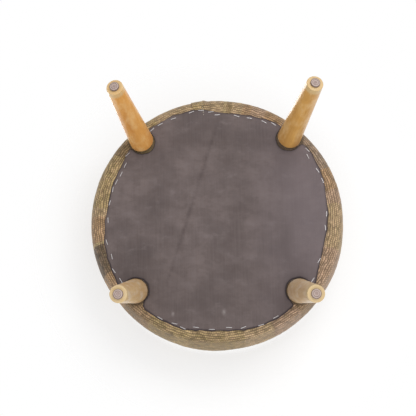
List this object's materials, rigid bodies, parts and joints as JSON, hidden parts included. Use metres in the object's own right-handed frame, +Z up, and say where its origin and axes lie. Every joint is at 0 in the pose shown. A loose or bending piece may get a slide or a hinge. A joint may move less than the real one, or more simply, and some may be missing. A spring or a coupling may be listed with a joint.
{
  "type": "upholstered footstool",
  "caption": "Round upholstered footstool: a crowned foam cushion in corded fabric on a plywood board, with splayed tapered turned wood legs on nail glides.",
  "frame": {"origin": "on the floor under the middle of the seat", "axes": "+Z up through the seat, +X to the right seen from the front, -Y the front"},
  "size_m": [0.4598, 0.4598, 0.3338],
  "materials": {
    "leg_wood": "satin lacquer on honey maple",
    "plywood": "raw",
    "cover_fabric": "corded weave in olive, gold and brown blocks",
    "fibre_batting": "loose white fibre",
    "foam": "open-cell foam",
    "dust_cloth": "thin matt lining cloth",
    "staple_wire": "bright wire",
    "zinc_steel": "zinc plated",
    "glide_nylon": "moulded nylon, scuffed"
  },
  "bodies": {
    "root": {"leg_front_left": "leg_wood", "hanger_bolt_front_left": "zinc_steel", "tee_nut_front_left": "zinc_steel", "glide_front_left": "glide_nylon", "glide_nail_front_left": "zinc_steel", "leg_front_right": "leg_wood", "hanger_bolt_front_right": "zinc_steel", "tee_nut_front_right": "zinc_steel", "glide_front_right": "glide_nylon", "glide_nail_front_right": "zinc_steel", "leg_back_left": "leg_wood", "hanger_bolt_back_left": "zinc_steel", "tee_nut_back_left": "zinc_steel", "glide_back_left": "glide_nylon", "glide_nail_back_left": "zinc_steel", "leg_back_right": "leg_wood", "hanger_bolt_back_right": "zinc_steel", "tee_nut_back_right": "zinc_steel", "glide_back_right": "glide_nylon", "glide_nail_back_right": "zinc_steel", "seat_board": "plywood", "cover_side_band": "cover_fabric", "cover_top_panel": "cover_fabric", "batting": "fibre_batting", "foam_core": "foam", "dust_cover": "dust_cloth", "dust_cover_staples": "staple_wire", "band_staples": "staple_wire"}
  },
  "joints": []
}
